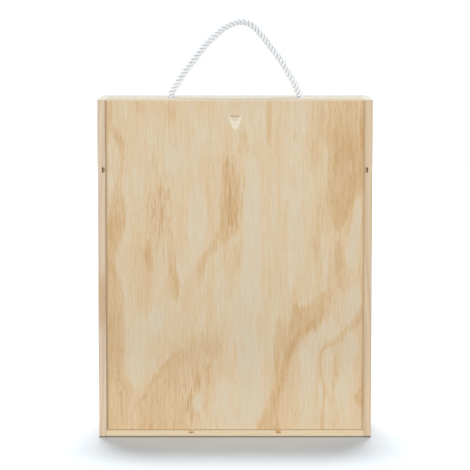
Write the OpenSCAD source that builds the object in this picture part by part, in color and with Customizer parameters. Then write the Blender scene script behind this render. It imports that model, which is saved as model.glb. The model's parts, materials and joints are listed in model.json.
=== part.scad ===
// Pine wine box for three bottles, with a lid that slides up and a rope handle.
// Millimetres. The origin is at the middle of the base, +Z is up, and the lid faces -Y.
// Sides and base are cut from one grooved moulding, and the top board from the same
// moulding without its front lip, so that the lid can pass in front of it.

/* [Box] */
// Width over the two side boards
box_w = 290; // [260:1:330]
// Depth from the front edges of the boards to their rear edges
box_d = 110; // [100:1:130]
// Height of the side boards
box_h = 360; // [340:1:400]
// Thickness of the side, top and bottom boards
board_t = 8; // [7:0.5:12]
// Width of the small bevel along the boards' long arrises
arris = 0.4; // [0.1:0.1:0.8]

/* [Grooves] */
// Thickness of the lip outside each groove
lip_t = 3; // [2:0.25:5]
// Depth of the lid and back panel grooves
groove_depth = 3.5; // [2.5:0.25:4.5]
// Thickness of the sliding lid
lid_t = 4; // [3:0.5:6]
// Play between the lid's faces and its groove
lid_play = 0.2; // [0.1:0.05:0.5]
// Gap between the lid's side edges and the groove's floor
lid_edge_gap = 1.4; // [0.5:0.1:1.8]
// Distance from the box's top down to the shut lid's top edge
lid_drop = 0.4; // [0:0.1:2]
// Width of the bevel that eases the lid's top edge
lid_ease = 0.5; // [0.2:0.1:1]
// Thickness of the back panel
back_t = 4; // [3:0.5:6]
// Play between the back panel's faces and its groove
back_play = 0.1; // [0.05:0.05:0.3]
// Gap at the end of each lid, panel and insert, to the floor of its groove
end_gap = 0.3; // [0.1:0.1:0.6]

/* [Thumb pull] */
// Width of the scooped pull at its upper edge
pull_w = 14; // [10:0.5:24]
// Length of the pull from its upper edge down to its tip
pull_l = 14.5; // [10:0.5:24]
// Depth of the pull at its upper edge
pull_depth = 2.2; // [1:0.1:2.6]
// Distance from the lid's top edge down to the pull
pull_drop = 17; // [10:0.5:40]

/* [Inserts] */
// Thickness of the dividers
divider_t = 5; // [3:0.5:6]
// Thickness of the neck rest
rest_t = 5; // [3:0.5:6]
// Distance from the box's top down to the middle of the neck rest
rest_drop = 74; // [60:1:110]
// Width of each cut-out for a bottle's neck
neck_w = 36; // [28:1:44]
// Depth of the dados that hold the inserts
dado_depth = 3.5; // [2.5:0.25:4.5]
// Play between an insert's faces and its dado or slot
insert_play = 0.15; // [0.05:0.05:0.3]
// Gap between the inserts and the lid's groove or the back panel
insert_gap = 0.5; // [0.3:0.1:1.5]

/* [Rope handle] */
// Diameter of the rope
rope_d = 8; // [6:0.5:10]
// Gap all round the rope in its hole
hole_gap = 0.25; // [0.1:0.05:0.8]
// Gap between the swinging loop and the rope end under it
swing_gap = 0.3; // [0.2:0.1:0.6]
// Gap between each knot and the underside of the top board
knot_gap = 0.2; // [0.1:0.1:0.6]
// Width of the knot
knot_w = 26; // [20:1:30]
// Height of the knot
knot_h = 22; // [16:1:26]
// Length of the rope's tail below the knot
tail_l = 12; // [6:1:20]

/* [Brads] */
// Diameter of a brad's shank
brad_d = 1.2; // [1:0.1:1.6]
// Length of a brad
brad_l = 25; // [18:1:32]
// Diameter of a brad's head
head_d = 2.2; // [1.9:0.1:2.6]
// Thickness of a brad's head
head_t = 0.8; // [0.5:0.1:1.2]
// Depth that a brad's head is set below the face
head_sink = 0.3; // [0.1:0.1:0.6]
// Play all round a brad
brad_play = 0.05; // [0.02:0.01:0.1]
// Distance from each brad to the next along a joint
brad_pitch = 32; // [20:1:38]

/* [Hidden] */

// The rope loop's centreline, as seen from the front: distance right of the middle
// of the box, and height above the line that the handle swings about.
loop_route = [[-69, 0], [-63, 10], [-53, 25], [-43, 38], [-33, 51], [-22, 62], [-10, 72],
  [5, 77.5], [18, 74], [29, 63], [39, 50], [49, 37], [58, 22], [65, 10], [69, 0]];
rope_sides = 12;

round_fn = 48;
small_fn = 24;
cut = 1; // how far a cutting tool runs past the face that it opens

pine = [0.87, 0.78, 0.65];
pale_pine = [0.89, 0.81, 0.69];
plywood = [0.86, 0.76, 0.61];
insert_wood = [0.85, 0.77, 0.64];
white_rope = [0.93, 0.94, 0.96];
steel = [0.66, 0.66, 0.67];

front_y = -box_d / 2;
rear_y = box_d / 2;
inner_x = box_w / 2 - board_t;
inner_top = box_h - board_t;

lid_groove_w = lid_t + 2 * lid_play;
lid_groove_end = front_y + lip_t + lid_groove_w;
back_groove_w = back_t + 2 * back_play;
back_groove_start = rear_y - lip_t - back_groove_w;

lid_front = front_y + lip_t + lid_play;
lid_foot = board_t - groove_depth + end_gap;
lid_top = box_h - lid_drop;
lid_w = 2 * (inner_x + groove_depth - lid_edge_gap);
back_front = back_groove_start + back_play;

insert_front = lid_groove_end + insert_gap;
insert_rear = back_front - insert_gap;
insert_mid = (insert_front + insert_rear) / 2;
divider_x = (2 * inner_x + divider_t) / 6;
divider_foot = board_t - dado_depth;
divider_top = inner_top + dado_depth - end_gap;
rest_z = box_h - rest_drop;
rest_w = 2 * (inner_x + dado_depth - end_gap);

bottom_brad_z = board_t / 2;
top_brad_z = box_h - board_t / 2;

rope_r = rope_d / 2;
hole_r = rope_r + hole_gap;
rope_x = loop_route[len(loop_route) - 1][0];
swing_z = box_h + rope_r + swing_gap;
knot_top = inner_top - knot_gap;
knot_foot = knot_top - knot_h;
knot_flat = 75; // the knot's outline is cut flat past this angle
knot_outline = [for (a = [-knot_flat:15:knot_flat])
  [knot_w / 2 * cos(a), knot_top - knot_h / 2 * (1 - sin(a) / sin(knot_flat))]];

pull_r = (pull_w * pull_w / 4 + pull_depth * pull_depth) / (2 * pull_depth);
pull_slope = atan(pull_depth / pull_l);

// Section of the moulding, with its outer face on the X axis: X runs from the front
// edge to the rear edge, and Y through the board's thickness.
module moulding_section(start_y) {
  difference() {
    polygon([
      [start_y + arris, 0], [rear_y - arris, 0], [rear_y, arris],
      [rear_y, board_t - arris], [rear_y - arris, board_t], [start_y + arris, board_t],
      [start_y, board_t - arris], [start_y, arris]
    ]);
    translate([front_y + lip_t, board_t - groove_depth])
      square([lid_groove_w, groove_depth + cut]);
    translate([back_groove_start, board_t - groove_depth])
      square([back_groove_w, groove_depth + cut]);
  }
}

// A length of the moulding lying along X, with its outer face down at Z = 0.
module board_along_x(start_y) {
  translate([-inner_x, 0, 0])
    rotate([90, 0, 90])
      linear_extrude(2 * inner_x)
        moulding_section(start_y);
}

// The two dados for the dividers' ends, cut upwards from Z = 0.
module divider_dados() {
  for (side = [-1, 1])
    translate([side * divider_x - divider_t / 2 - insert_play, front_y - cut, 0])
      cube([divider_t + 2 * insert_play, back_front - front_y + cut, dado_depth + cut]);
}

// A brad along X with its head's face at X = 0, or the hole for it, which has play
// all round and is open behind the head.
module brad(play = 0) {
  rotate([0, 90, 0]) {
    translate([0, 0, play > 0 ? -head_sink - cut : 0])
      cylinder(d = head_d + 2 * play, h = head_t + (play > 0 ? head_sink + cut : 0), $fn = small_fn);
    cylinder(d = brad_d + 2 * play, h = brad_l + play, $fn = small_fn);
  }
}

// A row of brads through the left side at each of the heights, or the holes for them.
module brads_left(heights, play = 0) {
  for (z = heights)
    for (row = [-1, 0, 1])
      translate([-box_w / 2 + head_sink, row * brad_pitch, z])
        brad(play);
}

module side_board() {
  difference() {
    translate([-box_w / 2, 0, 0])
      mirror([1, -1, 0])
        linear_extrude(box_h)
          moulding_section(front_y);
    // dado for the neck rest, run out through the front lip
    translate([-inner_x - dado_depth, front_y - cut, rest_z - rest_t / 2 - insert_play])
      cube([dado_depth + cut, back_front - front_y + cut, rest_t + 2 * insert_play]);
    brads_left([bottom_brad_z, top_brad_z], brad_play);
  }
}

module side_left() {
  color(pine)
    side_board();
}

module side_right() {
  color(pine)
    mirror([1, 0, 0])
      side_board();
}

module bottom_board() {
  color(pale_pine)
    difference() {
      board_along_x(front_y);
      translate([0, 0, divider_foot])
        divider_dados();
      brads_left([bottom_brad_z], brad_play);
      mirror([1, 0, 0])
        brads_left([bottom_brad_z], brad_play);
    }
}

module top_board() {
  color(pale_pine)
    difference() {
      translate([0, 0, box_h])
        mirror([0, 0, 1])
          board_along_x(lid_groove_end);
      translate([0, 0, inner_top - cut])
        divider_dados();
      for (side = [-1, 1])
        translate([side * rope_x, 0, inner_top - cut])
          cylinder(r = hole_r, h = board_t + 2 * cut, $fn = round_fn);
      brads_left([top_brad_z], brad_play);
      mirror([1, 0, 0])
        brads_left([top_brad_z], brad_play);
    }
}

module back_panel() {
  panel_w = 2 * (inner_x + groove_depth - end_gap);
  panel_foot = board_t - groove_depth;
  panel_h = inner_top + groove_depth - end_gap - panel_foot;
  color(plywood)
    translate([-panel_w / 2, back_front, panel_foot])
      cube([panel_w, back_t, panel_h]);
}

// The scoop is a round gouge run in at a slope: deepest at the pull's straight upper
// edge, and out through the lid's face at its rounded tip.
module thumb_scoop() {
  translate([0, lid_front, lid_top - pull_drop - pull_l])
    rotate([-pull_slope, 0, 0])
      translate([0, -pull_r, -cut])
        cylinder(r = pull_r, h = pull_l / cos(pull_slope) + cut, $fn = round_fn);
}

// Section of the lid from front to back and from its foot up, with its top edge eased.
module lid_section() {
  lid_h = lid_top - lid_foot;
  polygon([
    [0, 0], [lid_t, 0], [lid_t, lid_h - lid_ease], [lid_t - lid_ease, lid_h],
    [lid_ease, lid_h], [0, lid_h - lid_ease]
  ]);
}

module lid() {
  color(plywood)
    difference() {
      translate([-lid_w / 2, lid_front, lid_foot])
        rotate([90, 0, 90])
          linear_extrude(lid_w)
            lid_section();
      thumb_scoop();
    }
}

// An upright divider. A slot from its rear edge to its middle takes the neck rest.
module divider() {
  difference() {
    translate([-divider_t / 2, insert_front, divider_foot])
      cube([divider_t, insert_rear - insert_front, divider_top - divider_foot]);
    translate([-divider_t / 2 - cut, insert_mid - insert_play, rest_z - rest_t / 2 - insert_play])
      cube([divider_t + 2 * cut, insert_rear - insert_mid + insert_play + cut,
        rest_t + 2 * insert_play]);
  }
}

module divider_left() {
  color(insert_wood)
    translate([-divider_x, 0, 0])
      divider();
}

module divider_right() {
  color(insert_wood)
    translate([divider_x, 0, 0])
      divider();
}

// The level rest under the bottles' shoulders. A slot from its front edge to its
// middle takes each divider, and a cut-out open to the front takes each neck.
module neck_rest() {
  color(insert_wood)
    difference() {
      translate([-rest_w / 2, insert_front, rest_z - rest_t / 2])
        cube([rest_w, insert_rear - insert_front, rest_t]);
      for (side = [-1, 1])
        translate([side * divider_x - divider_t / 2 - insert_play, insert_front - cut,
          rest_z - rest_t / 2 - cut])
          cube([divider_t + 2 * insert_play, insert_mid - insert_front + insert_play + cut,
            rest_t + 2 * cut]);
      for (bay = [-1, 0, 1])
        translate([bay * 2 * divider_x, insert_mid, rest_z - rest_t / 2 - cut]) {
          cylinder(d = neck_w, h = rest_t + 2 * cut, $fn = round_fn);
          translate([-neck_w / 2, insert_front - insert_mid - cut, 0])
            cube([neck_w, insert_mid - insert_front + cut, rest_t + 2 * cut]);
        }
    }
}

module corner_brads() {
  color(steel) {
    brads_left([bottom_brad_z, top_brad_z]);
    mirror([1, 0, 0])
      brads_left([bottom_brad_z, top_brad_z]);
  }
}

// The rope in its hole, with the stopper knot under the top board and a short tail.
module rope_end() {
  color(white_rope)
    rotate_extrude($fn = round_fn)
      polygon(concat(
        [[0, knot_foot - tail_l], [rope_r, knot_foot - tail_l], [rope_r, knot_foot]],
        knot_outline,
        [[rope_r, knot_top], [rope_r, box_h], [0, box_h]]
      ));
}

module rope_end_left() {
  translate([-rope_x, 0, 0])
    rope_end();
}

module rope_end_right() {
  translate([rope_x, 0, 0])
    rope_end();
}

// The free loop is one tube. Each station of it is a centre, a heading and a radius.
// Its ends are round about the line that it swings on, so they turn over the holes.
loop_line = [for (p = loop_route) [p[0], 0, swing_z + p[1]]];
loop_last = len(loop_line) - 1;
up = [0, 0, 1];

function unit(v) = v / norm(v);
function heading(i) =
  i == 0 ? up : i == loop_last ? -up : unit(loop_line[i + 1] - loop_line[i - 1]);

loop_stations = concat(
  [for (a = [75, 50, 25]) [loop_line[0] - rope_r * sin(a) * up, up, rope_r * cos(a)]],
  [for (i = [0:loop_last]) [loop_line[i], heading(i), rope_r]],
  [for (a = [25, 50, 75]) [loop_line[loop_last] - rope_r * sin(a) * up, -up, rope_r * cos(a)]]
);

function station_ring(s) =
  [for (k = [0:rope_sides - 1])
    s[0] + s[2] * (cos(360 * k / rope_sides) * cross([0, 1, 0], s[1])
      + sin(360 * k / rope_sides) * [0, 1, 0])];

// Triangles between ring i and the next, and a fan over each end.
function wall_faces(i) =
  [for (k = [0:rope_sides - 1]) each
    let (next = (k + 1) % rope_sides, a = i * rope_sides, b = a + rope_sides)
      [[a + k, a + next, b + next], [a + k, b + next, b + k]]];
function start_cap() = [for (k = [1:rope_sides - 2]) [0, k + 1, k]];
function end_cap(first) = [for (k = [1:rope_sides - 2]) [first, first + k, first + k + 1]];

module handle_rope() {
  color(white_rope)
    polyhedron(
      points = [for (s = loop_stations) each station_ring(s)],
      faces = concat(
        start_cap(),
        [for (i = [0:len(loop_stations) - 2]) each wall_faces(i)],
        end_cap((len(loop_stations) - 1) * rope_sides)
      )
    );
}

side_left();
side_right();
bottom_board();
top_board();
back_panel();
lid();
divider_left();
divider_right();
neck_rest();
corner_brads();
rope_end_left();
rope_end_right();
handle_rope();
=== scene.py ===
"""Wine box for three bottles: pine boards, a plywood lid that slides up, a rope handle.

Metres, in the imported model's frame: +Z is up and the lid faces -Y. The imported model
holds every board; this script gives each its wood, and makes the laid rope and its
knots, which the model holds as plain solids.
"""
import json
import math

import bmesh
import bpy
import numpy as np
from mathutils import Matrix, Vector, geometry, noise


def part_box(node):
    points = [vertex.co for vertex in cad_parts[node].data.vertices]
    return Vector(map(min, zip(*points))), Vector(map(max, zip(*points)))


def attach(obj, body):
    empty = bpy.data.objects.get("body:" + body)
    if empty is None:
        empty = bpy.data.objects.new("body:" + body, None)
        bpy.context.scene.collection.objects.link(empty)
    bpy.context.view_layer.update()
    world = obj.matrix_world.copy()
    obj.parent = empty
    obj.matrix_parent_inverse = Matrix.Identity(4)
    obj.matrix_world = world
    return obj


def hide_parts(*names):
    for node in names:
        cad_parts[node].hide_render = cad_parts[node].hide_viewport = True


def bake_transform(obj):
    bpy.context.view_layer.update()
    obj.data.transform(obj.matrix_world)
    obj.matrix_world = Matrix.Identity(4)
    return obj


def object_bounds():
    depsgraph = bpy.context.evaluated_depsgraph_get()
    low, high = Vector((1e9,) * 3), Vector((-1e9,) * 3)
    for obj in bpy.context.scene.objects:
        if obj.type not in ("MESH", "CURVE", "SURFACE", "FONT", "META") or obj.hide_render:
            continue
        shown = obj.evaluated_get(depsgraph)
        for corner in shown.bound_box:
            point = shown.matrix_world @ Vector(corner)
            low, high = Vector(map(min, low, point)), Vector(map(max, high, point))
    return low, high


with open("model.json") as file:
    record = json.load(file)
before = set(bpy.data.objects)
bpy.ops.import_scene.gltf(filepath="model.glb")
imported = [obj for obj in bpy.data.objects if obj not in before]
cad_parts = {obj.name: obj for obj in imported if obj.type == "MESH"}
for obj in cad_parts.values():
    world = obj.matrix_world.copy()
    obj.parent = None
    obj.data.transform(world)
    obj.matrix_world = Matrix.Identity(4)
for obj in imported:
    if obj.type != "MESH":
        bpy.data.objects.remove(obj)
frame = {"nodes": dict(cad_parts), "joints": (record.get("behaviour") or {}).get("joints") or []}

cad_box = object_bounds()
scene = bpy.context.scene
scene.view_settings.view_transform = "Standard"

MM = 0.001

# ---------------------------------------------------------------- the camera's place

PHOTO_SIDE = 470  # pixels
PIXEL = 1.064 * MM  # at the box's front
TOP_EDGE_ROW = 99.9  # of the box's top front edge in the photograph
CAMERA_BACK = 2.5  # from the box's front to the camera
CAMERA_UP = 0.4725  # above the floor
LENS_REACH = 1.0105  # how many times longer the lens is than a level camera's for PIXEL
SENSOR = 36.0  # mm wide, as Blender's cameras have


def place_camera():
    front_y = cad_box[0][1]
    box_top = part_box("side_left")[1][2]
    focal_pixels = CAMERA_BACK * LENS_REACH / PIXEL
    look_to_top = math.atan((CAMERA_UP - box_top) / CAMERA_BACK)
    top_from_middle = math.atan((PHOTO_SIDE / 2 - TOP_EDGE_ROW) / focal_pixels)
    camera = bpy.data.objects.new("camera", bpy.data.cameras.new("camera"))
    camera.data.sensor_width = SENSOR
    camera.data.lens = SENSOR * focal_pixels / PHOTO_SIDE
    camera.location = (0, front_y - CAMERA_BACK, CAMERA_UP)
    camera.rotation_euler = (math.pi / 2 - look_to_top - top_from_middle, 0, 0)
    scene.collection.objects.link(camera)
    scene.camera = camera


# ---------------------------------------------------------------- shader expressions


class Value:
    """A socket in a material. Python's sums on it add the Math nodes that work them out."""

    def __init__(self, finish, socket):
        self.finish = finish
        self.socket = socket

    def maths(self, operation, *values):
        return self.finish.node("ShaderNodeMath", {"operation": operation},
                                dict(enumerate(values)))

    def __add__(self, other):
        return self.maths("ADD", self, other)

    def __radd__(self, other):
        return self.maths("ADD", other, self)

    def __sub__(self, other):
        return self.maths("SUBTRACT", self, other)

    def __rsub__(self, other):
        return self.maths("SUBTRACT", other, self)

    def __mul__(self, other):
        return self.maths("MULTIPLY", self, other)

    def __rmul__(self, other):
        return self.maths("MULTIPLY", other, self)

    def __truediv__(self, other):
        return self.maths("DIVIDE", self, other)

    def __rtruediv__(self, other):
        return self.maths("DIVIDE", other, self)

    def __abs__(self):
        return self.maths("ABSOLUTE", self)

    def larger(self, other):
        return self.maths("MAXIMUM", self, other)

    def root(self):
        return self.maths("SQRT", self)

    def past_whole(self):
        """How far it is past the whole number below it."""
        return self.maths("FRACT", self)


class Finish:
    """The nodes of one material, or of the world."""

    def __init__(self, owner):
        owner.use_nodes = True
        self.tree = owner.node_tree
        self.tree.nodes.clear()

    def node(self, kind, settings=None, sockets=None, output=0):
        """Adds a node: its settings first, then its sockets' values or links."""
        made = self.tree.nodes.new(kind)
        for name, setting in (settings or {}).items():
            if name == "stops":
                set_stops(made.color_ramp, setting)
            else:
                setattr(made, name, setting)
        for name, value in (sockets or {}).items():
            if isinstance(value, Value):
                self.tree.links.new(value.socket, made.inputs[name])
            else:
                made.inputs[name].default_value = value
        if made.outputs:
            return Value(self, made.outputs[output])

    def vector(self, operation, *values, output=0):
        return self.node("ShaderNodeVectorMath", {"operation": operation},
                         dict(enumerate(values)), output)

    def mix(self, factor, first, second):
        """A colour that goes from first to second as factor goes from 0 to 1."""
        return self.node("ShaderNodeMix", {"data_type": "RGBA"},
                         {0: factor, 6: first, 7: second}, 2)

    def rise(self, value, low, high):
        """0 at low, 1 at high and smooth between them."""
        return self.node("ShaderNodeMapRange", {"interpolation_type": "SMOOTHSTEP"},
                         {"Value": value, "From Min": low, "From Max": high})

    def noise(self, place, per_mm, detail=2.0, roughness=0.5, output=0):
        """Noise about 0.5 with so many bumps to the millimetre along X, Y and Z."""
        return self.node("ShaderNodeTexNoise", None, {
            "Vector": self.vector("MULTIPLY", place, per_mm),
            "Scale": 1.0, "Detail": detail, "Roughness": roughness}, output)

    def place_mm(self):
        """The place on the piece, in millimetres."""
        at = self.node("ShaderNodeTexCoord", output="Object")
        return self.vector("SCALE", at, (0, 0, 0), (0, 0, 0), 1 / MM)

    def parts(self, place):
        """The three numbers of a vector."""
        split = self.node("ShaderNodeSeparateXYZ", None, {0: place}).socket.node
        return [Value(self, socket) for socket in split.outputs]

    def surface(self, shade, roughness, height=None, bump=0.25, bump_mm=0.05, **constants):
        """The shader: height feeds its bump, and constants are set on its own sockets."""
        sockets = {"Base Color": shade, "Roughness": roughness, **constants}
        if height is not None:
            sockets["Normal"] = self.node("ShaderNodeBump", None, {
                "Strength": bump, "Distance": bump_mm * MM, "Height": height})
        self.show(self.node("ShaderNodeBsdfPrincipled", None, sockets))

    def show(self, shader, output="ShaderNodeOutputMaterial"):
        """Makes the shader the one that is rendered."""
        self.node(output, None, {"Surface": shader})


def set_stops(ramp, stops):
    """Gives a colour ramp its (place, colour) stops."""
    while len(ramp.elements) < len(stops):
        ramp.elements.new(1)
    for element, (where, colour) in zip(ramp.elements, stops):
        element.position = where
        element.color = colour


def colour(red, green, blue):
    """A colour written as a picture shows it, from 0 to 255, as Blender takes it."""
    return (*(((c / 255 + 0.055) / 1.055) ** 2.4 for c in (red, green, blue)), 1.0)


# ---------------------------------------------------------------- wood

# The lid's figure, in millimetres above the base and right of the middle. A streak is
# a row of (up, across, half width, how dark), from its foot to its head. Where streaks
# cross, the darkest shows. Below 0 a streak or a spot is paler than the wood around it.
DARK_STREAKS = [
    # down the left edge, round the foot of a pale tongue
    [(0, -118, 20, 0.45), (38, -119, 19, 0.5), (50, -122, 15, 0.55), (58, -125, 13, 0.6),
     (66, -128, 9.5, 0.75), (100, -127, 9.5, 0.9), (130, -128, 8.5, 0.85), (165, -128, 8, 0.7),
     (180, -131, 5, 0.7), (205, -130, 6, 0.85), (220, -127, 9, 1.0), (235, -125, 9.5, 0.9),
     (252, -124, 8.5, 0.7), (264, -123, 5, 0.5), (285, -120, 2.5, 0.6), (305, -120, 2.5, 0.6),
     (314, -122, 4, 0.7), (326, -127, 4, 0.6), (334, -130, 2, 0)],
    [(318, -136, 2, 0), (328, -135, 4, 0.6), (352, -134, 5, 0.6), (360, -134, 5, 0.5)],
    # the hill with two tops beside the tongue, which runs out over the foot of the lid
    [(0, -90, 45, 0.5), (20, -88, 47, 0.5), (30, -72, 38, 0.5), (38, -65, 34, 0.5),
     (50, -60, 32, 0.5), (63, -55, 30, 0.5), (72, -49, 30, 0.45), (82, -44, 27, 0.45),
     (90, -41, 25, 0.45), (95, -34, 18, 0.45), (103, -33, 16.5, 0.45), (110, -33, 14, 0.4),
     (114, -33, 12, 0)],
    [(34, -101, 2, 0), (38, -99, 2.5, 0.65), (50, -91, 3, 0.7), (63, -83, 3.5, 0.7),
     (75, -75, 4, 0.7), (85, -68, 4, 0.7), (92, -60, 4, 0.55), (97, -50, 3, 0)],
    [(22, -53, 3.5, 0), (30, -53, 3.5, 0.55), (70, -53, 3.5, 0.55), (78, -53, 3, 0)],
    [(50, -30, 2, 0), (58, -29, 2.2, 0.75), (75, -29, 2.2, 0.7), (88, -19, 3, 0.6),
     (102, -19, 4, 0.6), (110, -26, 4, 0)],
    # the tree in the middle, and its right foot
    [(158, -40, 3, 0), (166, -38, 4, 0.5), (180, -37, 5.5, 0.8), (192, -33, 5, 0.6),
     (202, -22, 6.5, 0.5), (212, -15, 8, 0.55), (222, -8.5, 10.5, 0.8), (235, -7, 10, 0.85),
     (252, -4.5, 11, 0.8), (270, -5, 9, 0.8), (286, -5, 8, 0.75), (294, -7.5, 3.5, 0.65),
     (300, -7, 2, 0)],
    [(172, 2.5, 2, 0), (184, 2.5, 3, 0.45), (196, 2.5, 3, 0.35), (208, 1, 3, 0)],
    # fingers to the left of it
    [(144, -64, 2, 0), (152, -64, 4, 0.8), (164, -64, 5.5, 0.8), (180, -66, 4, 0.65),
     (196, -66, 3.5, 0.45), (204, -66, 3, 0)],
    [(176, -91.5, 2.5, 0), (184, -91.5, 3, 0.65), (206, -91.5, 3, 0.6), (214, -91, 2, 0)],
    # the broad flame at the lower right, its core and its two fingers
    [(0, 35, 15, 0.7), (10, 36, 13, 0.7), (20, 38, 8.5, 0.75), (40, 42.5, 7, 0.75),
     (60, 47.5, 8, 0.75), (80, 50, 9, 0.75), (90, 51.5, 11.5, 0.75), (100, 55, 13, 0.75),
     (110, 61, 17, 0.75), (117, 69, 19, 0.75), (125, 76, 19, 0.75), (135, 81, 19, 0.7),
     (142, 89, 11, 0.7), (150, 95, 9, 0.65), (156, 101, 6, 0.6), (161, 103, 4, 0)],
    [(36, 45, 2, 0), (44, 46, 2.5, 0.9), (60, 50, 3, 0.95), (80, 53, 3.5, 1.0),
     (95, 60, 4, 1.05), (108, 67, 4, 1.05), (116, 76, 6, 1.0), (124, 86, 7, 1.0),
     (134, 89, 6, 0.95), (146, 88, 4, 0.8), (154, 89, 2, 0)],
    [(96, 46, 3, 0), (104, 46, 3, 0.8), (120, 46.5, 2.8, 0.75), (129, 47, 1.5, 0)],
    [(122, 65, 5, 0), (130, 65, 5, 0.8), (139, 64, 3.5, 0.75), (146, 63, 1.5, 0)],
    # the thin flame below it, which turns out to the right edge
    [(0, 93, 3, 0.6), (10, 93.5, 3, 0.75), (24, 93.5, 2.2, 0.75), (40, 95, 1.4, 0.6),
     (58, 95, 1.4, 0.6), (66, 92, 1.8, 0.7), (90, 91.5, 2, 0.7), (97, 97, 4, 0.6),
     (101, 105, 6, 0.55), (106, 112, 5, 0.65), (113, 117, 5, 0.65), (122, 127, 5, 0.65),
     (134, 137, 6, 0.65), (142, 140, 4, 0)],
    [(48, 106, 2, 0), (56, 106.5, 2, 0.4), (84, 108.5, 3, 0.45), (96, 107, 3, 0)],
    [(30, 137, 2, 0), (34, 136, 5, 0.9), (43, 137, 12, 0.9), (50, 138, 8, 0.9),
     (60, 138, 2.5, 0.8), (65, 138, 1, 0)],
    # the tan wood at the top right, with its darker rim
    [(220, 110, 3, 0), (228, 111, 6, 0.5), (236, 112, 10, 0.6), (246, 112, 13, 0.65),
     (256, 114, 16, 0.65), (266, 116, 20, 0.7), (285, 118, 19.5, 0.72), (310, 118, 20, 0.7),
     (330, 116, 23, 0.62), (348, 114, 26, 0.55), (360, 113, 27, 0.5)],
    [(262, 136, 3, 0), (282, 136, 4, 0.95), (328, 137, 6, 0.95), (342, 137, 6, 0.85),
     (360, 137, 5, 0.7)],
    [(172, 108, 3, 0), (180, 109, 4, 0.5), (204, 109, 4, 0.5), (213, 109, 3, 0)],
    [(168, 88, 3, 0), (182, 88, 3.5, 0.4), (206, 87, 3.5, 0.4), (217, 86, 3, 0)],
    # a thin one at the top
    [(306, 37, 1.5, 0), (318, 36.5, 2.2, 0.55), (350, 36, 3, 0.6), (360, 36, 3, 0.3)],
]
PALE_STREAKS = [
    # the long stripe right of the middle
    [(0, 4, 22, -0.2), (15, 6, 16, -0.6), (30, 13, 15, -0.75), (50, 16, 13.5, -0.75),
     (70, 15, 11.5, -0.75), (90, 13.5, 9, -0.8), (110, 11.5, 10.5, -0.8), (130, 11.5, 11.5, -0.8),
     (150, 14, 11, -0.8), (170, 16.5, 9.5, -0.8), (190, 17.5, 9.5, -0.75), (220, 18, 9, -0.7),
     (250, 19, 8, -0.6), (280, 19, 7, -0.5), (300, 18, 6, 0)],
    [(172, 65, 6, 0), (190, 65, 7.5, -0.5), (230, 65, 7.5, -0.6), (252, 65, 6, -0.5),
     (266, 65, 5, 0)],
    [(178, 124, 3, 0), (190, 122, 4, -0.6), (210, 125, 5, -0.7), (230, 130, 4.5, -0.7),
     (245, 130, 3.5, -0.5), (255, 130, 2, 0)],
]
# A spot is (up, across, half height, half width, how dark)
LID_SPOTS = [
    (37, -40, 10, 5.5, -1.4), (107, -38, 6, 3.5, -0.4), (86, -30, 9, 5, -0.3),
    (40, -13, 20, 12, -0.3), (95, -100, 46, 16, -0.3), (127, -84, 13, 9, -0.5),
    (232, -40, 46, 12, -0.5), (296, -65, 14, 9, -0.4), (322, -28, 26, 20, -0.2),
    (117, 101, 11, 11, -0.4), (44, 115, 24, 7, -0.6), (102, 124, 14, 9, -0.35),
    (84, 82, 32, 6, -0.45), (150, 128, 13, 7, -0.5), (300, 48, 50, 14, -0.15),
    (250, -82, 52, 17, 0.35), (228, -76, 28, 8, 0.2), (185, -5, 30, 12, 0.2),
    (173, 118, 22, 18, 0.35), (240, 92, 28, 8, 0.35), (45, 62, 42, 11, 0.2),
    (170, -100, 50, 18, 0.2), (250, 124, 120, 34, 0.22), (324, 65, 8, 4.5, 0.4),
    (322, 10, 7, 6, 0.3), (322, 86, 42, 13, 0.35), (224, 40, 26, 12, -0.25),
    (170, 60, 14, 8, -0.35), (88, 62, 20, 9, 0.3), (350, -100, 12, 9, 0.3),
    (308, 4.5, 4.5, 2.4, 0.7), (299, -1, 3, 1.4, 0.8), (308, 14, 4.5, 1.3, 0.6),
    (275, 11, 9, 2, 0.4), (345, -68, 14, 10, 0.35), (140, -40, 14, 4, 0.25),
]
# Where the fibres stand out as hairlines: (up, across, half height, half width)
HAIRY_SPOTS = [(262, -76, 95, 24), (258, 0, 75, 18), (38, -46, 36, 16)]
FIGURE_SPAN = 400.0  # mm, which the figure's curves cover both ways

GREY_VENEER = colour(222, 210, 184)
PALE_VENEER = colour(226, 210, 182)
MID_VENEER = colour(225, 201, 163)
ROSY_VENEER = colour(226, 196, 163)
TAN_VENEER = colour(213, 179, 130)
DARK_VENEER = colour(198, 155, 103)
VENEER_STOPS = [(0.0, GREY_VENEER), (0.25, PALE_VENEER), (0.45, MID_VENEER),
                (0.78, TAN_VENEER), (1.0, DARK_VENEER)]
PORE = colour(170, 128, 84)
CORE_PLY = colour(214, 188, 150)
GLUE_LINE = colour(168, 132, 92)
FRESH_CUT = colour(240, 230, 206)
FRESH_CORE = colour(228, 219, 200)
# painted shade, for the lid beside the lips, the lips' tops and the top board behind the lid
PAINTED_SHADE = colour(176, 151, 116)
# end grain, painted pale and grey as a sheen on the top ends
END_GRAIN_SHEEN = colour(198, 196, 182)
# a painted contact shadow along the edge that the box stands on
CONTACT_SHADOW = colour(64, 56, 48)
# each board's early and late wood
LEFT_PINE = (colour(223, 203, 176), colour(203, 174, 141))
RIGHT_PINE = (colour(221, 198, 166), colour(198, 168, 130))
# paler than the other pines: partly its own paler wood, and partly painted light against the shade at
# the foot
BOTTOM_PINE = (colour(254, 233, 197), colour(247, 217, 174))
# the top board's wood, painted greyer and paler than the others as a sheen on its top
TOP_PINE = (colour(196, 190, 174), colour(179, 167, 146))

# How fine the fibres are: bumps to the millimetre across the grain and along it
FINE_FIBRES = (0.9, 0.055)
BANDS = (0.28, 0.018)
BROAD_BANDS = (0.045, 0.014)
HAIRLINES = (0.48, 0.04)
ROSY_BANDS = (0.09, 0.03)
PORES = (1.3, 0.12)
PINE_FIBRES = (2.0, 0.03)
PINE_BANDS = (0.15, 0.008)


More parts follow.
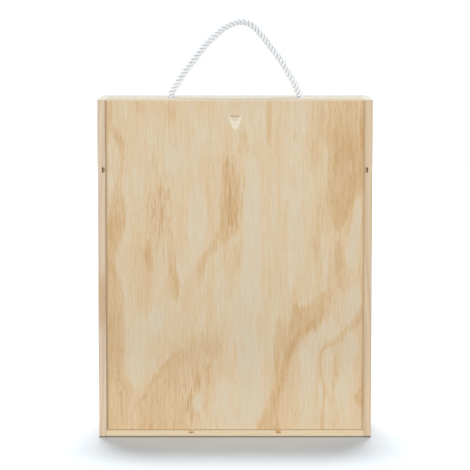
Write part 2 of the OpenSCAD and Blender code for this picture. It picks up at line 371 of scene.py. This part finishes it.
def curve(finish, share, points):
    """A smooth curve through (place, value) points, all from 0 to 1."""
    made = finish.node("ShaderNodeFloatCurve", None, {"Value": share})
    mapping = made.socket.node.mapping
    mapping.extend = "HORIZONTAL"
    line = mapping.curves[0].points
    while len(line) < len(points):
        line.new(1, 1)
    for point, at in zip(line, points):
        point.location = at
    mapping.update()
    return made


def streak(finish, across, up, points):
    """How dark a streak makes a place, whose across and up are shares of FIGURE_SPAN."""
    middle = curve(finish, up, [(z / FIGURE_SPAN, x / FIGURE_SPAN + 0.5) for z, x, _, _ in points])
    half = curve(finish, up, [(z / FIGURE_SPAN, width / FIGURE_SPAN) for z, _, width, _ in points])
    dark = curve(finish, up, [(z / FIGURE_SPAN, dark) for z, _, _, dark in points])
    return finish.rise(abs(across - middle) / half, 1.35, 0.65) * dark


def spot(finish, place, up, across, half_height, half_width):
    """1 at the middle of an upright oval, and 0 past its rim."""
    from_middle = finish.vector("SUBTRACT", place, (across, 0, up))
    scaled = finish.vector("MULTIPLY", from_middle, (1 / half_width, 0, 1 / half_height))
    return finish.rise(finish.vector("LENGTH", scaled, output=1), 1.25, 0.35)


WANDER = (8, 0, 12)  # mm that the lid's figure strays by
COMBED = (0, 0, 22)  # mm that its fibres draw an edge up or down


def lid_figure(finish, place):
    """How dark the lid's face is, from its streaks and spots, and how hairy."""
    wander = finish.noise(place, (0.03, 0, 0.012), 3, output=1)
    comb = finish.noise(place, (0.9, 0, 0.02), 2, 0.7)
    warped = finish.vector("MULTIPLY_ADD", wander, WANDER, place)
    warped = finish.vector("MULTIPLY_ADD", comb, COMBED, warped)
    # noise is about 0.5, so half of both comes off again
    halves = tuple((w + c) / 2 for w, c in zip(WANDER, COMBED))
    warped = finish.vector("SUBTRACT", warped, halves)
    across, _, up = finish.parts(warped)
    across = across / FIGURE_SPAN + 0.5
    up = up / FIGURE_SPAN
    dark = 0.0
    for points in DARK_STREAKS:
        dark = streak(finish, across, up, points).larger(dark)
    for points in PALE_STREAKS:
        dark = streak(finish, across, up, points) + dark
    for *oval, strength in LID_SPOTS:
        dark = spot(finish, warped, *oval) * strength + dark
    hairy = 0.0
    for oval in HAIRY_SPOTS:
        hairy = spot(finish, warped, *oval) + hairy
    return dark, hairy


PLAIN_RING = 42.0  # mm from ring to ring on a plain veneer's face
RING_DRIFT = 6  # rings that one strays by


def ring_figure(finish, place, across_axis):
    """How dark a plain veneer's face is, from growth rings cut almost along their
    length, and how hairy."""
    per_mm = [0.0036] * 3
    per_mm["XYZ".index(across_axis)] = 0.0105
    drift = finish.noise(place, tuple(per_mm), 2)
    across = finish.parts(place)["XYZ".index(across_axis)]
    ring = (drift * RING_DRIFT + across / PLAIN_RING).past_whole()
    return finish.rise(ring, 0.25, 0.9) * finish.rise(ring, 1.0, 0.93) * 0.8, drift


def wood_colour(finish, dark, hairy, place, grain_axis):
    """A veneer's colour from how dark its figure is, with its fibres, hairlines and pores."""
    fine, bands, broad, hairs, rosy, pores = (
        fibre_noise(finish, place, grain_axis, *per_mm)
        for per_mm in (FINE_FIBRES, BANDS, BROAD_BANDS, HAIRLINES, ROSY_BANDS, PORES))
    figured = finish.rise(dark, -0.4, 0.7)
    hairy = figured * (hairy * 0.8 + 0.2)
    grain = (bands - 0.5) * 0.9 + (fine - 0.5) * 0.9
    dark = dark * 0.9 + (broad - 0.5) * 1.1 + grain * (figured * 0.6 + 0.6)
    shade = finish.node("ShaderNodeValToRGB", {"stops": VENEER_STOPS}, {"Fac": dark * 0.5 + 0.34})
    for share, tint in (
            (finish.rise(rosy, 0.47, 0.65) * 0.3, ROSY_VENEER),
            (finish.rise(fine, 0.3, 0.7) * 0.3, TAN_VENEER),
            (finish.rise(hairs, 0.52, 0.62) * hairy * 0.75, DARK_VENEER),
            (finish.rise(hairs, 0.46, 0.36) * hairy * 0.4, PALE_VENEER),
            (finish.rise(pores, 0.56, 0.68) * figured * 0.35, PORE)):
        shade = finish.mix(share, shade, tint)
    return shade, fine


def fibre_noise(finish, place, grain_axis, across_per_mm, along_per_mm):
    """Noise drawn out along the grain."""
    per_mm = [across_per_mm] * 3
    per_mm["XYZ".index(grain_axis)] = along_per_mm
    return finish.noise(place, tuple(per_mm), 3, 0.6)


CORE_HALF = 0.14  # the core's half thickness, as a share of the panel's
PLY_BLUR = 0.01  # how far one ply's colour runs into the next, as a share of it too
GLUE_SHOWS = 0.6  # the glue lines' strength


def plywood(name, node, through_axis, grain_axis, across_axis, figure):
    """Three plies: a face veneer each side of a core whose grain runs across. Only the lid has a
    figure of its own, and the thumb pull that goes with it, with painted shade at its rims and
    in the pull, painted light at its foot and a painted sheen on its top."""
    material = bpy.data.materials.new(name)
    finish = Finish(material)
    place = finish.place_mm()
    axis = "XYZ".index(through_axis)
    low, high = (corner[axis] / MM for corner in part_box(node))
    depth = (finish.parts(place)[axis] - low) / (high - low)
    if figure:
        dark, hairy = figure(finish, place)
    else:
        dark, hairy = ring_figure(finish, place, across_axis)
    face, fine = wood_colour(finish, dark, hairy, place, grain_axis)
    crumbs = finish.noise(place, (1.6, 1.6, 1.6), 3, 0.7)
    core = finish.mix(finish.rise(crumbs, 0.35, 0.7), CORE_PLY, TAN_VENEER)
    glue = GLUE_SHOWS
    if figure:
        # painted light at the foot, and painted shade along the rims behind the lips
        face = shaded_rim(finish, place, painted_light_at_foot(finish, place, face, 0.22))
        fresh = in_pull(finish, place)
        face = finish.mix(fresh * 0.9, face, FRESH_CUT)
        core = finish.mix(fresh * 0.8, core, FRESH_CORE)
        glue = GLUE_SHOWS - fresh * 0.4
    from_middle = abs(depth - 0.5)
    in_core = finish.rise(from_middle, CORE_HALF + PLY_BLUR, CORE_HALF - PLY_BLUR)
    at_glue = finish.rise(abs(from_middle - CORE_HALF), 3 * PLY_BLUR, PLY_BLUR)
    shade = finish.mix(in_core, face, core)
    shade = finish.mix(at_glue * glue, shade, GLUE_LINE)
    if figure:
        # painted shadow under the pull's upper edge, in the glue lines' colour
        shade = finish.mix(pull_edge_shadow(finish, place, fresh) * 0.6, shade, GLUE_LINE)
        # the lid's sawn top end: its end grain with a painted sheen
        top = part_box(node)[1][2] / MM
        sawn = finish.rise(finish.parts(place)[2], top - 0.6, top - 0.2)
        shade = finish.mix(sawn * 0.6, shade, END_GRAIN_SHEEN)
    finish.surface(shade, 0.62 + fine * 0.12, fine)
    return material


FOOT_LIGHT_ROWS = (110, 5)  # mm up, where the painted light at the foot begins and where it is strongest


def painted_light_at_foot(finish, place, shade, gain):
    """Painted light: the wood is paler towards the foot, by as much as the gain, against the shade
    that falls there.
    """
    foot_light = finish.rise(finish.parts(place)[2], *FOOT_LIGHT_ROWS) * gain + 1.0
    return finish.vector("SCALE", shade, (0, 0, 0), (0, 0, 0), foot_light)


LID_SEEN = (137.0, 7.5)  # mm across and up, where the side and bottom lips end
RIM_SHADE_WIDTH = 3.4  # mm


def shaded_rim(finish, place, shade):
    """Painted shade on the lid where it runs behind the lips of the boards, darkest on its left."""
    across, _, up = finish.parts(place)
    side, foot = LID_SEEN
    at_side = finish.rise(abs(across), side - RIM_SHADE_WIDTH, side - 0.3)
    at_foot = finish.rise(up, foot + 0.5 * RIM_SHADE_WIDTH, foot)
    at_side = at_side * (finish.rise(across, 20, -20) * 0.3 + 0.6)
    return finish.mix(at_side.larger(at_foot * 0.35), shade, PAINTED_SHADE)


PULL_HALF_WIDTH = 8.0  # mm, a little more than the pull's
PULL_ROWS = (326.0, 344.0)  # mm up, from below its tip to above its upper edge
PULL_EDGE = 342.6  # mm up, the upper edge itself


def in_pull(finish, place):
    """1 in the thumb pull, which is cut after the lid is sanded, so its wood is pale."""
    across, inwards, up = finish.parts(place)
    front, back = (corner[1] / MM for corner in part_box("lid"))
    return (finish.rise(inwards, front + 0.02, front + 0.12)
            * finish.rise(inwards, back - 0.1, back - 0.3)
            * finish.rise(abs(across), PULL_HALF_WIDTH, PULL_HALF_WIDTH - 0.4)
            * finish.rise(up, PULL_ROWS[0], PULL_ROWS[0] + 0.4)
            * finish.rise(up, PULL_ROWS[1], PULL_ROWS[1] - 0.4))


def pull_edge_shadow(finish, place, fresh):
    """1 where a shadow is painted in the pull, under its upper edge."""
    across, _, up = finish.parts(place)
    return fresh * (finish.rise(up, PULL_EDGE - 1.3, PULL_EDGE - 0.3)
                    * finish.rise(abs(across), 5.6, 4.0))


RING_WIDTH = 3.4  # mm from ring to ring in the solid boards
RING_BEND = 9  # mm that a ring strays by
LEFT_PATCH = (147, -141, 34, 12)  # an oval of darker wood on the left board, as for spot()
LIP_FROM = 51.5  # mm from the box's middle plane, front and back
FOOT_SHADOW_HEIGHT = 2.2  # mm up the edge that the box stands on, painted dark as a contact shadow


def pine_board(node, name, grain_axis, heart, tilt, early_late, patch):
    """Solid pine: growth rings about a heart beside the board, which leans by tilt."""
    material = bpy.data.materials.new(name)
    finish = Finish(material)
    place = finish.place_mm()
    bend = finish.noise(place, (0.02, 0.02, 0.006), 2)
    across, inwards, up = finish.parts(place)
    along, side = (up, across) if grain_axis == "Z" else (across, up)
    sideways = side - heart[0] - along * tilt
    behind = inwards - heart[1]
    radius = (sideways * sideways + behind * behind).root() + bend * RING_BEND
    ring = (radius / RING_WIDTH).past_whole()
    late = finish.rise(ring, 0.2, 0.88) * finish.rise(ring, 1.0, 0.94)
    fine = fibre_noise(finish, place, grain_axis, *PINE_FIBRES)
    broad = fibre_noise(finish, place, grain_axis, *PINE_BANDS)
    shade = finish.mix(late * 0.45 + (fine - 0.5) * 0.4 + (broad - 0.5) * 0.35,
                       *early_late)
    low, high = (Vector(corner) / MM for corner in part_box(node))
    on_floor = low.z < FOOT_SHADOW_HEIGHT
    if grain_axis == "Z":
        # painted light: the board is paler towards the foot
        shade = painted_light_at_foot(finish, place, shade, 0.2)
        # the sawn top end: its end grain with a painted sheen
        sawn = finish.rise(up, high.z - 0.6, high.z - 0.2)
        shade = finish.mix(sawn * 0.85, shade, END_GRAIN_SHEEN)
    elif on_floor:
        # painted shade on the tops of the bottom board's lips, beside the lid
        lip = finish.rise(abs(inwards), LIP_FROM, LIP_FROM + 0.5)
        toned = lip * finish.rise(up, high.z - 0.7, high.z - 0.3)
        shade = finish.mix(toned * 0.6, shade, PAINTED_SHADE)
    else:
        # painted shadow of the lid on the top board, along its front
        behind_lid = finish.rise(inwards, low.y + 22, low.y + 3)
        shade = finish.mix(behind_lid * 0.6, shade, PAINTED_SHADE)
    if patch:
        at_front = finish.rise(inwards, low.y + 17, low.y + 1)
        shade = finish.mix(spot(finish, place, *patch) * at_front * 0.5, shade, DARK_VENEER)
    if on_floor:
        # painted contact shadow, darkest where the box meets the floor
        shade = finish.mix(finish.rise(up, FOOT_SHADOW_HEIGHT, 0.4) * 0.9, shade, CONTACT_SHADOW)
    finish.surface(shade, 0.6 + fine * 0.12, fine)
    return material


# ---------------------------------------------------------------- rope

STRANDS = 3
STRAND_OFFSET = 2.1 * MM  # from the rope's middle to each strand's
STRAND_HALF = (1.9 * MM, 2.15 * MM)  # through the rope and round it
STRAND_SIDES = 20
LAY_LENGTH = 14 * MM  # for one turn of a strand
RING_STEP = 0.7 * MM
YARN_TURNS = 2.1  # turns that a strand's yarns make back for each of its own
YARNS_APART = 50  # mm along the yarns' noise from strand to strand, so none looks like another
SWELL = 0.05  # how much a strand's thickness varies, as a share of it

SWING_Z = next(j for j in frame["joints"] if j["name"] == "handle_swing")["pos_m"][2]
TOP_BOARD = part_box("top_board")
# distance right of the box's middle, and height above the line that the handle swings about
LOOP_ROUTE = [(-0.069, 0), (-0.063, 0.010), (-0.053, 0.025), (-0.043, 0.038),
              (-0.033, 0.051), (-0.022, 0.062), (-0.010, 0.072), (0.005, 0.0775),
              (0.018, 0.074), (0.029, 0.063), (0.039, 0.050), (0.049, 0.037),
              (0.058, 0.022), (0.065, 0.010), (0.069, 0)]
HOLE_X = LOOP_ROUTE[-1][0]
JOIN_Z = TOP_BOARD[0][2] + 2.5 * MM  # in each hole, where the loop meets its knot's rope


def smooth_line(points, step):
    """A smooth line through the points, as places one step apart."""
    points = [Vector(p) for p in points]
    ends = [2 * points[0] - points[1], *points, 2 * points[-1] - points[-2]]
    fine = [points[0]]
    for before, start, end, after in zip(ends, ends[1:], ends[2:], ends[3:]):
        fine += geometry.interpolate_bezier(
            start, start + (end - before) / 6, end - (after - start) / 6, end, 24)[1:]
    fine = np.array(fine)
    run = np.concatenate([[0], np.cumsum(np.linalg.norm(np.diff(fine, axis=0), axis=1))])
    even = np.linspace(0, run[-1], round(run[-1] / step) + 1)
    return np.stack([np.interp(even, run, fine[:, k]) for k in range(3)], 1)


def straight_strand(steps, step):
    """One strand going round the Z axis to the right, from Z = 0 up."""
    strand = bmesh.new()
    bmesh.ops.create_circle(strand, segments=STRAND_SIDES, radius=1)
    bmesh.ops.scale(strand, vec=(*STRAND_HALF, 1), verts=strand.verts)
    bmesh.ops.translate(strand, vec=(STRAND_OFFSET, 0, 0), verts=strand.verts)
    bmesh.ops.spin(strand, geom=strand.verts[:] + strand.edges[:], cent=(0, 0, 0),
                   axis=(0, 0, 1), dvec=(0, 0, step), angle=math.tau * steps * step / LAY_LENGTH,
                   steps=steps, use_merge=False, use_duplicate=False)
    bmesh.ops.holes_fill(strand, edges=strand.edges, sides=0)
    return strand


def rope_along(name, line, squeeze=None):
    """A laid rope whose middle follows the line, which has places one ring apart. The
    squeeze is each ring's thickness, as a share of the rope's."""
    steps = len(line) - 1
    step = float(np.linalg.norm(np.diff(line, axis=0), axis=1).mean())
    mesh = straight_strand(steps, step)
    strand = mesh.verts[:] + mesh.edges[:] + mesh.faces[:]
    for k in range(1, STRANDS):
        copy = bmesh.ops.duplicate(mesh, geom=strand)["geom"]
        bmesh.ops.rotate(mesh, cent=(0, 0, 0), matrix=Matrix.Rotation(math.tau * k / STRANDS, 3, "Z"),
                         verts=[v for v in copy if isinstance(v, bmesh.types.BMVert)])
    bmesh.ops.recalc_face_normals(mesh, faces=mesh.faces)
    lay = mesh.verts.layers.float_vector.new("lay")
    crown = mesh.verts.layers.float.new("crown")
    frames = carried_frames(line)
    for vert in mesh.verts:
        ring = round(vert.co.z / step)
        vert[lay] = strand_place(vert.co)
        vert[crown] = math.hypot(vert.co.x, vert.co.y) / (STRAND_OFFSET + STRAND_HALF[0])
        swell = 1 + SWELL * noise.noise((vert[lay][0] * 200, vert.co.z * 90, 3.7))
        width = swell * (1 if squeeze is None else squeeze[ring])
        centre, side, other = frames[ring]
        vert.co = centre + side * vert.co.x * width + other * vert.co.y * width
    made = bpy.data.meshes.new(name)
    mesh.to_mesh(made)
    mesh.free()
    made.shade_smooth()
    rope = bpy.data.objects.new(name, made)
    scene.collection.objects.link(rope)
    return rope


def strand_place(place):
    """A place in the straight rope as one on its strand's yarns, with the strand unlaid."""
    turn = math.tau * place.z / LAY_LENGTH
    about = math.atan2(place.y, place.x) - turn
    strand = round(about / (math.tau / STRANDS))
    about -= strand * math.tau / STRANDS
    out = math.hypot(place.x, place.y)
    across = math.atan2(out * math.sin(about), out * math.cos(about) - STRAND_OFFSET)
    yarn = across + YARN_TURNS * turn
    return Vector((math.cos(yarn), math.sin(yarn), place.z / MM + YARNS_APART * (strand % STRANDS)))


def carried_frames(line):
    """For each place on the line, it and two directions square to the line there, carried
    along with no twist of their own."""
    heading = np.gradient(line, axis=0)
    heading /= np.linalg.norm(heading, axis=1, keepdims=True)
    side = Vector((0, 1, 0)).cross(Vector(heading[0])).normalized()
    frames = []
    for centre, ahead in zip(line, heading):
        ahead = Vector(ahead)
        side = (side - ahead * side.dot(ahead)).normalized()
        frames.append((Vector(centre), side, ahead.cross(side)))
    return frames


KNOT_ROPE_D = 6.8 * MM  # the rope is squeezed where it crosses itself
KNOT_LENGTH = 100 * MM
KNOT_SPAN = 31 * MM  # from the hole down to the foot of the knot
KNOT_POINTS = 56
TIGHTENING = 900  # rounds of pulling
DRAWN_BY = 0.6  # the share of them after which the ends stay where they are
LIMPNESS = 0.06  # how much a round straightens the rope
KNOT_SQUEEZE = 0.15  # how much thinner the rope is in the knot
SQUEEZED_WITHIN = (6 * MM, 8 * MM)  # of the knot's top and of the tail's end
TAIL_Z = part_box("rope_end_left")[0][2]


def overhand_knot():
    """The line of an overhand knot, drawn tight by its two ends along Z. The top of its
    span is its start. The rope keeps its length, and its width from itself."""
    # a curve of polynomials that is knotted once, loosely
    turn = np.linspace(-2.25, 2.25, KNOT_POINTS)
    line = np.stack([turn**3 - 3 * turn, turn**4 - 4 * turn**2, (turn**5 - 10 * turn) / 5], 1)
    up = line[0] - line[-1]
    up /= np.linalg.norm(up)
    side = np.cross((0, 1, 0), up)
    side /= np.linalg.norm(side)
    line = line @ np.stack([side, np.cross(up, side), up], 1)
    line *= KNOT_LENGTH / np.linalg.norm(np.diff(line, axis=0), axis=1).sum()
    line -= (line[0] + line[-1]) / 2
    link = KNOT_LENGTH / (KNOT_POINTS - 1)
    first, second = np.triu_indices(KNOT_POINTS, round(1.5 * KNOT_ROPE_D / link))
    loose = line[[0, -1]].copy()
    drawn = np.array([(0, 0, KNOT_SPAN / 2), (0, 0, -KNOT_SPAN / 2)])
    for pull in range(TIGHTENING):
        share = min(1, pull / (DRAWN_BY * TIGHTENING))
        ends = loose + (drawn - loose) * share
        line[[1, -2]] = line[[0, -1]] + [(0, 0, -link), (0, 0, link)]
        line[1:-1] += LIMPNESS * ((line[:-2] + line[2:]) / 2 - line[1:-1])
        for _ in range(4):
            for parity in (0, 1):
                pairs = np.arange(parity, KNOT_POINTS - 1, 2)
                push_apart(line, pairs, pairs + 1, link, stretch=True)
            push_apart(line, first, second, KNOT_ROPE_D)
            line[[0, -1]] = ends
    return line


def push_apart(line, first, second, gap, stretch=False):
    """Moves pairs of points that are nearer than the gap out to it, or with stretch,
    all pairs to just the gap."""
    between = line[second] - line[first]
    apart = np.linalg.norm(between, axis=1)
    moved = np.full(len(apart), True) if stretch else apart < gap
    shift = between[moved] * (0.5 * (gap - apart[moved]) / apart[moved])[:, None]
    np.add.at(line, first[moved], -shift)
    np.add.at(line, second[moved], shift)


# the yarns' dips are painted a little darker and bluer, as painted shade between them
YARN_DIP = colour(235, 240, 244)
YARN_CREST = colour(249, 251, 253)
WORN_YARN = colour(230, 230, 227)
# painted shade in the grooves between the strands
STRAND_GROOVE_SHADE = colour(178, 191, 204)


def rope_material():
    """Soft white yarn, a little blue, with its fibres along the strands."""
    material = bpy.data.materials.new("white_rope")
    finish = Finish(material)
    lay = finish.node("ShaderNodeAttribute", {"attribute_name": "lay"}, output="Vector")
    crown = finish.node("ShaderNodeAttribute", {"attribute_name": "crown"}, output="Fac")
    yarns = finish.noise(lay, (4.5, 4.5, 0.35), 2, 0.6)
    fibres = finish.noise(lay, (14, 14, 1.5), 2, 0.6)
    toned = finish.noise(lay, (0.7, 0.7, 0.06), 2)
    # painted shade: darker and bluer in the yarns' dips, where the bump is low
    shade = finish.mix(finish.rise(yarns * 0.6 + fibres * 0.4, 0.3, 0.6),
                       YARN_DIP, YARN_CREST)
    shade = finish.mix(finish.rise(toned, 0.45, 0.8) * 0.35, shade, WORN_YARN)
    # painted shade, darker and bluer where the strands dip into the grooves between them
    shade = finish.mix(finish.rise(crown, 0.9, 0.6) * 0.5, shade, STRAND_GROOVE_SHADE)
    finish.surface(shade, 0.85, yarns * 0.7 + fibres * 0.3, bump=0.7, bump_mm=0.35,
                   **{"Specular IOR Level": 0.2})
    return material


def make_rope():
    """The loop in one piece from hole to hole, and a knot on each end below the board."""
    white = rope_material()
    hole = (JOIN_Z, TOP_BOARD[1][2])
    left = [(-HOLE_X, 0, z) for z in hole]
    loop = [(x, 0, SWING_Z + up) for x, up in LOOP_ROUTE]
    right = [(HOLE_X, 0, z) for z in reversed(hole)]
    line = smooth_line(left + loop + right, RING_STEP)
    rope = rope_along("rope_loop", line)

    knots = []
    tied = overhand_knot()
    for side, x in (("left", -HOLE_X), ("right", HOLE_X)):
        knot_line = tied + (x, 0, JOIN_Z - KNOT_SPAN / 2)
        tail = np.array([(x, 0, z) for z in np.linspace(knot_line[-1][2], TAIL_Z, 4)[1:]])
        knot_line = smooth_line(np.concatenate([knot_line, tail]), RING_STEP)
        below_join = (JOIN_Z - knot_line[:, 2]) / SQUEEZED_WITHIN[0]
        above_end = (knot_line[:, 2] - TAIL_Z) / SQUEEZED_WITHIN[1]
        squeeze = 1 - KNOT_SQUEEZE * np.clip(np.minimum(below_join, above_end), 0, 1)
        knot = rope_along(f"rope_knot_{side}", knot_line, squeeze)
        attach(knot, "root")
        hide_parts(f"rope_end_{side}")
        knots.append(knot)
    for piece in (rope, *knots):
        piece.data.materials.append(white)

    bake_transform(rope)
    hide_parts("handle_rope")


# ---------------------------------------------------------------- dressing the boards


SANDED_EDGE = 0.4  # as a share of the foot's rounding
ROUNDED_FOOT = 1.3 * MM
LONG_EDGE = 7 * MM  # a shorter one stays sharp, such as the rims of the small holes
SHARP_EDGE = math.radians(60)
FLAT_EDGE = math.radians(0.5)  # a flatter one only parts the triangles of one face
SAME_CORNER = 0.001 * MM
SLIVER = 0.003 * MM


def sanded(node, body, material):
    """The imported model's board with its long edges broken by sanding, and its wood. The
    weld joins corners that the bevel leaves a hair apart."""
    mesh = bmesh.new()
    mesh.from_mesh(frame["nodes"][node].data)
    bmesh.ops.remove_doubles(mesh, verts=mesh.verts, dist=SAME_CORNER)
    bmesh.ops.dissolve_limit(mesh, angle_limit=FLAT_EDGE, verts=mesh.verts, edges=mesh.edges)
    share = mesh.edges.layers.float.new("bevel_weight_edge")
    for edge in mesh.edges:
        if (edge.calc_length() > LONG_EDGE and edge.is_convex
                and edge.calc_face_angle() > SHARP_EDGE):
            foot = max(vert.co.z for vert in edge.verts) < 0.01 * MM
            edge[share] = 1 if foot else SANDED_EDGE
    made = bpy.data.meshes.new(f"{node}_board")
    mesh.to_mesh(made)
    mesh.free()
    made.materials.clear()
    made.materials.append(material)
    board = bpy.data.objects.new(f"{node}_board", made)
    scene.collection.objects.link(board)
    bevel = board.modifiers.new("sanded", "BEVEL")
    bevel.limit_method = "WEIGHT"
    bevel.width = ROUNDED_FOOT
    bevel.segments = 3
    weld = board.modifiers.new("no_slivers", "WELD")
    weld.merge_threshold = SLIVER
    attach(board, body)
    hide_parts(node)


DULL_STEEL = colour(104, 102, 100)
BRIGHT_STEEL = colour(142, 140, 138)


def steel():
    """The brads' bare wire, of which only the heads show."""
    material = bpy.data.materials.new("brad_wire")
    finish = Finish(material)
    rub = finish.noise(finish.place_mm(), (3, 3, 3), 3)
    shade = finish.mix(rub, DULL_STEEL, BRIGHT_STEEL)
    finish.surface(shade, 0.3 + rub * 0.25, Metallic=1.0)
    return material


def dress_box():
    """Gives each board and panel its wood, and the brads their steel."""
    # each board's material, the way its grain runs, its heart, its lean and its wood
    for node, name, grain_axis, heart, tilt, early_late, patch in (
            ("side_left", "left_pine", "Z", (-205, 20), 0.03, LEFT_PINE, LEFT_PATCH),
            ("side_right", "right_pine", "Z", (196, 35), -0.02, RIGHT_PINE, None),
            ("bottom_board", "bottom_pine", "X", (-46, 12), 0.02, BOTTOM_PINE, None),
            ("top_board", "top_pine", "X", (420, 0), -0.02, TOP_PINE, None)):
        pine = pine_board(node, name, grain_axis, heart, tilt, early_late, patch)
        sanded(node, "root", pine)
    # each panel's material, and the axes through it, along its grain and across it
    for node, body, slot, name, axes, figure in (
            ("lid", "sliding_lid", "pine_plywood", "lid_plywood", "YZX", lid_figure),
            ("back_panel", "root", "pine_plywood", "back_plywood", "YZX", None),
            ("divider_left", "root", "insert_plywood", "divider_left_plywood", "XZY", None),
            ("divider_right", "root", "insert_plywood", "divider_right_plywood", "XZY", None),
            ("neck_rest", "root", "insert_plywood", "rest_plywood", "ZXY", None)):
        sanded(node, body, plywood(name, node, *axes, figure))
    brads = frame["nodes"]["corner_brads"].material_slots[0]
    brads.link = "OBJECT"
    brads.material = steel()


# ---------------------------------------------------------------- the studio


def white_where_seen(finish, seen, lit):
    """One shader for what the camera and glossy surfaces see, another for what is lit."""
    path = finish.node("ShaderNodeLightPath").socket.node
    camera, glossy, through = (Value(finish, path.outputs[ray]) for ray in (
        "Is Camera Ray", "Is Glossy Ray", "Is Transmission Ray"))
    return finish.node("ShaderNodeMixShader", None,
                       {0: camera.larger(glossy.larger(through)), 1: lit, 2: seen})


FLOOR_HALF = 4.0  # m, from its middle to each side


def studio():
    """A world that is white where it is seen, four soft lamps and a white floor."""
    world = bpy.data.worlds.new("studio")
    scene.world = world
    finish = Finish(world)
    seen = finish.node("ShaderNodeBackground", None, {"Color": (1, 1, 1, 1), "Strength": 1.0})
    lit = finish.node("ShaderNodeBackground", None,
                      {"Color": (0.97, 0.98, 1, 1), "Strength": 0.28})
    finish.show(white_where_seen(finish, seen, lit), "ShaderNodeOutputWorld")

    # strength, softness, tilt and turn
    sun("front_lamp", 1.72, 30, 80, -4)
    sun("top_lamp", 2.85, 22, -22, 1)
    sun("left_lamp", 1.05, 30, 85, -90)
    sun("right_lamp", 1.05, 30, 85, 90)

    floor = bmesh.new()
    bmesh.ops.create_grid(floor, x_segments=1, y_segments=1, size=FLOOR_HALF)
    mesh = bpy.data.meshes.new("floor")
    floor.to_mesh(mesh)
    floor.free()
    stage = bpy.data.objects.new("floor", mesh)
    scene.collection.objects.link(stage)
    mesh.materials.append(paper())


def paper():
    """White where it is seen, and greyer where it only throws light back on the box."""
    material = bpy.data.materials.new("white_paper")
    finish = Finish(material)
    seen = finish.node("ShaderNodeBsdfDiffuse", None, {"Color": (0.85, 0.91, 0.97, 1)})
    lit = finish.node("ShaderNodeBsdfDiffuse", None, {"Color": (0.36, 0.36, 0.36, 1)})
    finish.show(white_where_seen(finish, seen, lit))
    return material


def sun(name, strength, softness, tilt, turn):
    """A soft lamp. Softness, tilt and turn are degrees. Tilt is from straight down, and
    above 0 the light comes from the front before it is turned."""
    lamp = bpy.data.lights.new(name, "SUN")
    lamp.energy = strength
    lamp.angle = math.radians(softness)
    made = bpy.data.objects.new(name, lamp)
    made.rotation_euler = (math.radians(tilt), 0, math.radians(turn))
    scene.collection.objects.link(made)


place_camera()
make_rope()
dress_box()
studio()
